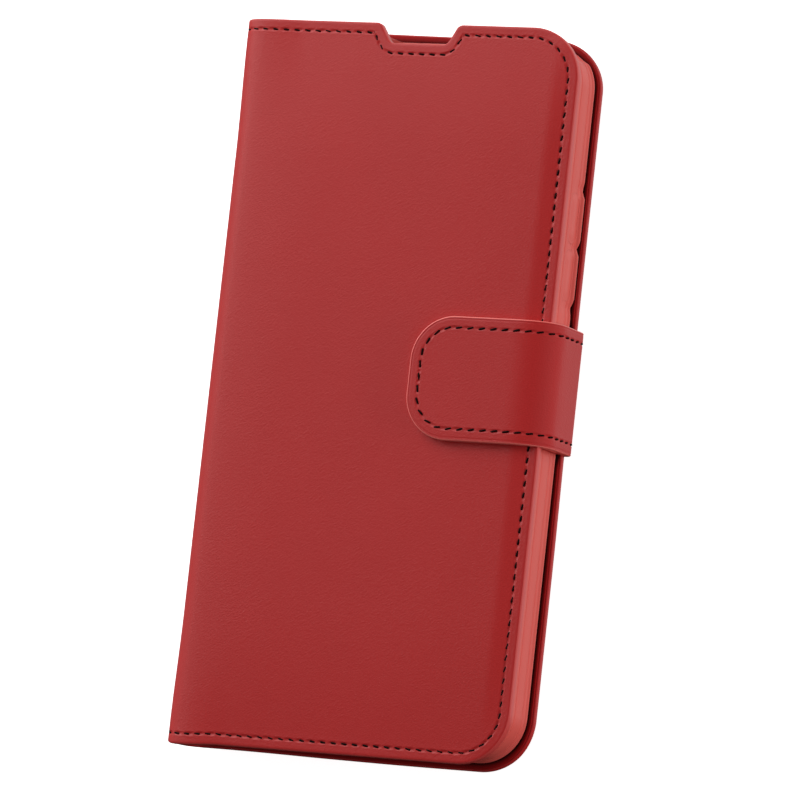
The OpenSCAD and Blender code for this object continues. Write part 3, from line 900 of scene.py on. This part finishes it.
def strap_stitches():
    """Seams of the strap: round the tab, up the side and a box on its sewn end."""
    upper = stitches("strap_tab_stitches", [dict(path=upper_edge(STRAP_SEAM_IN), wrap=strap_wrap, base=-0.12,
                                                 pitch=STRAP_PITCH, length=2.0)])
    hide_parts("strap_tab_thread", "strap_side_thread")
    end = EDGE_X - BASE_X - STRAP_SEAM_IN
    box_l, box_w = end - STRAP_SEAM_IN, STRAP_W - 2 * STRAP_SEAM_IN
    box = plate_edge((STRAP_SEAM_IN + end) / 2, STRAP_Y, box_l, box_w, 1.4)
    outer = lower_edge(STRAP_SEAM_IN)
    lower = stitches("strap_root_stitches", [
        dict(path=box + [box[0]], wrap=strap_wrap, base=-0.12, pitch=STRAP_PITCH, length=2.0),
        dict(path=outer, wrap=strap_wrap, base=-0.12, pitch=STRAP_PITCH, length=2.0,
             keep=lambda p: p.x > BEND_S - 0.5),
    ])
    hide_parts("strap_base_thread", "strap_side_thread")
    return upper, lower


# ---- Phone shell and buttons ----

VOLUME = box_mm("volume_button")
POWER = box_mm("power_button")
BUTTON_Z = (VOLUME[0].z + VOLUME[1].z) / 2
PHONE_Z = SHELL_LOW.z + FLOOR_T + 3.85
GROOVES = (2.95, 7.35)
RELIEF_X, RELIEF_W = (NOTCH_LOW + NOTCH_HIGH) / 2, 18.0    # gap in the shell's wall below the notch


def shell_edge(inset):
    return plate_edge(SHELL_X, 0, SHELL_W, SHELL_L, SHELL_R, inset, 1.0, 22)


def pad_bulge(y):
    """How far the shell's lower rim swells out below the button pads."""
    swell = 0.0
    for low, high in (VOLUME, POWER):
        swell += 0.42 * smooth(y, low.y - 0.7, low.y + 0.9) * (1 - smooth(y, high.y - 0.9, high.y + 0.7))
    return swell


def pad_dip(y):
    """How far the shell's side dips in beside the ends of the button pads."""
    ends = (VOLUME[1].y + 1.3, (VOLUME[0].y + POWER[1].y) / 2, POWER[0].y - 1.3)
    return 0.3 * sum(math.exp(-((y - end) / 1.0) ** 2) for end in ends)


def shell_wrap(x, y, z):
    side = smooth(x, SHELL_HIGH.x - 1.2, SHELL_HIGH.x - 0.3)
    shift = pad_bulge(y) * (1 - smooth(z, 1.2, 1.95)) - pad_dip(y) * (1 - smooth(z, 2.0, 5.0))
    return (x + shift * side, y - 0.9 * smooth(y, SHELL_HIGH.y - 4.8, SHELL_HIGH.y - 2.2), SHELL_LOW.z + z)


def shell_chain():
    """Edge of the shell: floor, round lower bead, wall with two fine grooves, lip, inner wall and floor."""
    bead = 0.34
    chain = [(3.5, 0.0), (2.4, 0.0), (1.5, 0.0), (0.9, 0.06), (0.4, 0.2), (0.0, 0.42), (-0.22, 0.64)]
    chain += [(-bead, 0.9), (-bead, 1.15), (-0.27, 1.36), (-0.14, 1.5), (-0.02, 1.62), (0, 1.8)]
    for z in GROOVES:
        chain += [(0, z - 0.4), (0.06, z - 0.2), (0.17, z - 0.06), (0.17, z + 0.06), (0.06, z + 0.2),
                  (0, z + 0.4)]
        chain.append((0, z + 1.0))
    top, turn = SHELL_H, 0.4
    for k in range(6):
        angle = math.pi / 2 * k / 5
        chain.append((turn * (1 - math.cos(angle)), top - turn * (1 - math.sin(angle))))
    lip = WALL_T + LIP_W
    for k in range(4):
        angle = math.pi / 2 * k / 3
        chain.append((lip - 0.22 * (1 - math.sin(angle)), top - 0.22 * (1 - math.cos(angle))))
    chain += [(lip - 0.05, top - 0.48), (WALL_T + 0.3, top - 0.5), (WALL_T, top - 0.8), (WALL_T, top - 4),
              (WALL_T, FLOOR_T + 0.6), (WALL_T + 0.15, FLOOR_T + 0.15), (WALL_T + 0.6, FLOOR_T),
              (3.5, FLOOR_T)]
    return chain


def cut_out(piece, cutters):
    """Cuts the cutters' shapes out of the piece and removes them."""
    for cutter in cutters:
        step = piece.modifiers.new("cut", "BOOLEAN")
        step.object = cutter
        step.operation = "DIFFERENCE"
        step.solver = "EXACT"
    done = bpy.data.meshes.new_from_object(piece.evaluated_get(bpy.context.evaluated_depsgraph_get()))
    piece.modifiers.clear()
    piece.data = done
    for cutter in cutters:
        bpy.data.objects.remove(cutter)
    piece.data.set_sharp_from_angle(angle=math.radians(40))


def bar_cutter(name, middle, length, height, along_x, depth, radius=None):
    """A bar with round ends, or corners of the given radius, that runs through the shell's wall."""
    chain = [(0.3, depth / 2), (0, depth / 2), (0, -depth / 2), (0.3, -depth / 2)]
    cx, cy, cz = middle

    def outline(inset):
        return plate_edge(0, 0, length, height, radius or height / 2 - 0.01, inset, 0.8, 8)

    def wrap(u, v, h):
        return (cx + h, cy + u, cz + v) if along_x else (cx + u, cy + h, cz + v)

    return sheet_piece(name, outline, chain, keep_height, wrap, [], [], SHELL, closed=True)


def phone_shell():
    """Moulded shell with the camera window, button slots, end holes and the gap below the notch."""
    window_chain = [(0.55, 0.0), (0.25, 0.0), (0.07, 0.08), (0, 0.3), (0, FLOOR_T - 0.3),
                    (0.07, FLOOR_T - 0.08), (0.25, FLOOR_T), (0.55, FLOOR_T)]
    columns = spaced(SHELL_LOW.x, SHELL_HIGH.x, 4.0)
    rows = spaced(SHELL_LOW.y, SHELL_HIGH.y, 4.0)
    shell = sheet_piece("coral_shell", shell_edge, shell_chain(), keep_height, shell_wrap, columns, rows,
                        SHELL, closed=True, hole=window_edge, hole_chain=window_chain)
    cutters = []
    for name, (low, high) in (("volume", VOLUME), ("power", POWER)):
        middle = (SHELL_HIGH.x - WALL_T / 2, (low.y + high.y) / 2, BUTTON_Z)
        cutters.append(bar_cutter("cut_" + name, middle, high.y - low.y + 0.02, high.z - low.z + 0.02, True,
                                  WALL_T + 1.4))
    bottom = SHELL_LOW.y + WALL_T / 2
    cutters.append(bar_cutter("cut_port", (SHELL_X, bottom, PHONE_Z), 14.0, 5.0, False, 4.0))
    for side in (-1, 1):
        cutters.append(bar_cutter("cut_speaker", (SHELL_X + 17 * side, bottom, PHONE_Z), 9.0, 2.2, False,
                                  4.0))
    cutters.append(bar_cutter("cut_microphone", (SHELL_X + 17, SHELL_HIGH.y - WALL_T / 2, PHONE_Z), 1.62, 1.6,
                              False, 4.0))
    cutters.append(bar_cutter("cut_relief", (RELIEF_X, SHELL_HIGH.y - 0.6, SHELL_LOW.z + FLOOR_T + 16.8),
                              RELIEF_W, 30.0, False, 8.4, 1.2))
    cutters.append(bar_cutter("cut_relief_edge", (RELIEF_X, SHELL_HIGH.y + 2.3, SHELL_LOW.z + 13),
                              RELIEF_W, 30.0, False, 6.0, 1.2))
    cut_out(shell, cutters)
    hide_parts("phone_shell")
    return shell


def side_button(name, node, extent):
    """Domed pad of a side button, with rounded rims."""
    low, high = extent
    length, height = high.y - low.y, high.z - low.z
    thick = high.x - low.x
    flush = thick - (high.x - SHELL_HIGH.x)
    chain = [(2.1 * (1 - k / 8), flush + 0.16 * (1 - smooth(k, 0, 8))) for k in range(9)]
    chain += [(0, flush * 0.5), (0, 0.1), (0.1, 0), (0.6, 0), (2.1, 0)]

    def outline(inset):
        return plate_edge((low.y + high.y) / 2, BUTTON_Z, length, height, height / 2 - 0.01, inset, 0.8, 12)

    def wrap(y, z, h):
        return (low.x + h, y, z)

    pad = sheet_piece(name, outline, chain, keep_height, wrap, [], [], SHELL, closed=True)
    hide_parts(node)
    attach(pad, node)
    return pad


# ---- Card pockets ----

def pocket_piece(name, node, radius):
    """A flat pocket layer with soft rims."""
    low, high = box_mm(node)
    thick = high.z - low.z
    turn = thick * 0.45
    chain = [(2.6, thick), (1.2, thick), (turn, thick), (turn * 0.3, thick - turn * 0.3), (0, thick - turn),
             (0, turn), (turn * 0.3, turn * 0.3), (turn, 0), (1.2, 0), (2.6, 0)]

    def outline(inset):
        return plate_edge((low.x + high.x) / 2, (low.y + high.y) / 2, high.x - low.x, high.y - low.y, radius,
                          inset, 2.0, 10)

    def wrap(x, y, h):
        return (x, y, high.z - h)

    columns, rows = spaced(low.x, high.x, 5.0), spaced(low.y, high.y, 5.0)
    piece = sheet_piece(name, outline, chain, keep_height, wrap, columns, rows, POCKET_LEATHER,
                        closed=True)
    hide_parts(node)
    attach(piece, "front_cover")
    return piece


def pocket_stitches():
    """Seam of the pockets: three sides, open towards the spine."""
    low, high = box_mm("cash_pocket")
    mid_x, mid_y = (low.x + high.x) / 2, (low.y + high.y) / 2

    def wrap(x, y, h):
        return (x, y, low.z - 0.02 - h * 0.55)

    path = [p for p in plate_edge(mid_x, mid_y, high.x - low.x, high.y - low.y, 4.0, 1.3, 1.0)]
    opening = min(range(len(path)), key=lambda k: (path[k] - Vector((low.x + 1.3, mid_y))).length)
    path = path[opening:] + path[:opening]
    points = [dict(path=path, wrap=wrap, base=-0.03, pitch=2.8, length=1.7, width=0.36,
                   keep=lambda p: p.x > low.x + 4.5)]
    seam = stitches("pocket_stitches", points)
    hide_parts("pocket_thread")
    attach(seam, "front_cover")
    return seam


# ---- Folds ----

def fold_line(joint_name, away_x, away_z, before, after):
    """Start and end of a fold's bending zone: a line through the fold's axis, in the row frame."""
    joint = next(j for j in frame["joints"] if j["name"] == joint_name)
    axis = Vector(joint["pos_m"])
    way = Vector((away_x, 0, away_z)).normalized()
    return axis + way * (before * MM), axis + way * (after * MM)


def bend(pieces, joint_name, way, before, after):
    """Bakes the pieces' transforms into their meshes and works out the fold's bending zone; nothing bends."""
    start, end = fold_line(joint_name, *way, before, after)
    for piece in pieces:
        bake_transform(piece)
        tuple(start)
        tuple(end)


# ---- Stage, light and camera ----

WORLD_TOP, WORLD_SIDES, WORLD_BELOW = 0.12, 0.75, 0.75


def area_light(name, place, size, power, size_y=None):
    """A rectangular light that shines on the origin."""
    light = bpy.data.lights.new(name, "AREA")
    light.shape = "RECTANGLE"
    light.size, light.size_y = size, size_y or size
    light.energy = power
    lamp = bpy.data.objects.new(name, light)
    lamp.location = place
    lamp.rotation_euler = (-Vector(place)).to_track_quat("-Z", "Y").to_euler()
    bpy.context.scene.collection.objects.link(lamp)
    return lamp


def studio_world():
    """Soft surroundings: two bright sides, a plain top, a darker front and light from low on the right."""
    world = bpy.data.worlds.new("studio")
    world.use_nodes = True
    nodes, links = world.node_tree.nodes, world.node_tree.links
    way = nodes.new("ShaderNodeTexCoord")
    parts = nodes.new("ShaderNodeSeparateXYZ")
    links.new(way.outputs["Generated"], parts.inputs["Vector"])

    def step(operation, first, second, third=None, clamp=False):
        node = nodes.new("ShaderNodeMath")
        node.operation = operation
        node.use_clamp = clamp
        for socket, value in zip(node.inputs, (first, second, third)):
            if isinstance(value, (int, float)):
                socket.default_value = value
            elif value is not None:
                links.new(value, socket)
        return node.outputs["Value"]

    side = step("MULTIPLY", parts.outputs["X"], parts.outputs["X"])
    sides = step("MULTIPLY_ADD", side, WORLD_SIDES, WORLD_TOP)
    front = step("MULTIPLY_ADD", parts.outputs["Y"], 0.75, 1.0, clamp=True)
    above = step("MULTIPLY", sides, front)
    behind = step("MULTIPLY_ADD", parts.outputs["Y"], 4.0, 0.45, clamp=True)
    below = step("MULTIPLY", behind, step("MULTIPLY_ADD", parts.outputs["X"], 0.4, WORLD_BELOW))
    height = step("MULTIPLY_ADD", parts.outputs["Z"], 12.0, 0.9, clamp=True)
    change = step("SUBTRACT", above, below)
    light = step("MULTIPLY_ADD", change, height, below)
    links.new(light, nodes["Background"].inputs["Strength"])
    nodes["Background"].inputs["Color"].default_value = (1, 1, 1, 1)
    bpy.context.scene.world = world


def pale_floor():
    """White studio floor that keeps its own even white and throws no light back on the object."""
    mesh = bpy.data.meshes.new("floor")
    s, z = 12.0, -0.0012
    mesh.from_pydata([(-s, -s, z), (s, -s, z), (s, s, z), (-s, s, z)], [], [(0, 1, 2, 3)])
    floor = bpy.data.objects.new("floor", mesh)
    mat = bpy.data.materials.new("white_floor")
    mat.use_nodes = True
    shader = mat.node_tree.nodes["Principled BSDF"]
    shader.inputs["Base Color"].default_value = (0.9, 0.9, 0.9, 1)
    shader.inputs["Roughness"].default_value = 0.9
    shader.inputs["Specular IOR Level"].default_value = 0.1
    shader.inputs["Emission Color"].default_value = (1, 1, 1, 1)
    shader.inputs["Emission Strength"].default_value = 0.85
    mesh.materials.append(mat)
    bpy.context.scene.collection.objects.link(floor)
    floor.visible_diffuse = False
    floor.visible_glossy = False
    floor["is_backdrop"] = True


def camera():
    """Camera at the angle from which the case is shown."""
    target = Vector((-0.00089, -0.00072, 0))
    towards = Vector((0.41301, -0.11716, 0.90316)).normalized()
    right = Vector((0.90930, 0.10850, -0.40174)).normalized()
    up = towards.cross(right)
    lens = bpy.data.cameras.new("camera")
    lens.lens = 314.3
    lens.sensor_width = 36
    lens.clip_start, lens.clip_end = 0.1, 60
    eye = bpy.data.objects.new("camera", lens)
    eye.matrix_world = Matrix((right, up, towards)).transposed().to_4x4()
    eye.location = target + towards * 1.58
    bpy.context.scene.collection.objects.link(eye)
    bpy.context.scene.camera = eye


camera()
bpy.context.scene.view_settings.view_transform = "Standard"
dress_cad_nodes()

front_leather = front_half()
back_leather = back_half()
front_inside, back_inside = linings()
front_seam, back_seam = cover_stitches()
strap = strap_layers()
strap_seams = strap_stitches()
shell = phone_shell()
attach(shell, "back_cover")
side_button("volume_pad", "volume_button", VOLUME)
side_button("power_pad", "power_button", POWER)
for number in (1, 2, 3):
    pocket_piece(f"card_pocket_{number}", f"card_slot_{number}", 1.0)
pocket_piece("large_pocket", "cash_pocket", 4.0)
pocket_stitches()

bend([front_leather, front_inside, front_seam], "cover_fold", (1, 1), -2.7, 2.1)
bend([back_leather, back_inside, back_seam], "spine_fold", (-1, 1), -2.1, 2.7)
bend([strap[0], strap[1], strap_seams[0]], "strap_tab_fold", (-1, 1), -1.1, 4.8)
bend([strap[2], strap[3], strap_seams[1]], "strap_side_fold", (1, 1), -0.9, 0.4)

studio_world()
pale_floor()
area_light("key", (-0.72, 0.70, 0.6), 1.2, 16.2)
fill = area_light("right_fill", (1.3, -0.1, 0.15), 0.9, 7.5, size_y=0.24)
fill.visible_glossy = False

[[list(corner) for corner in b] for b in (cad_box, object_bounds())]
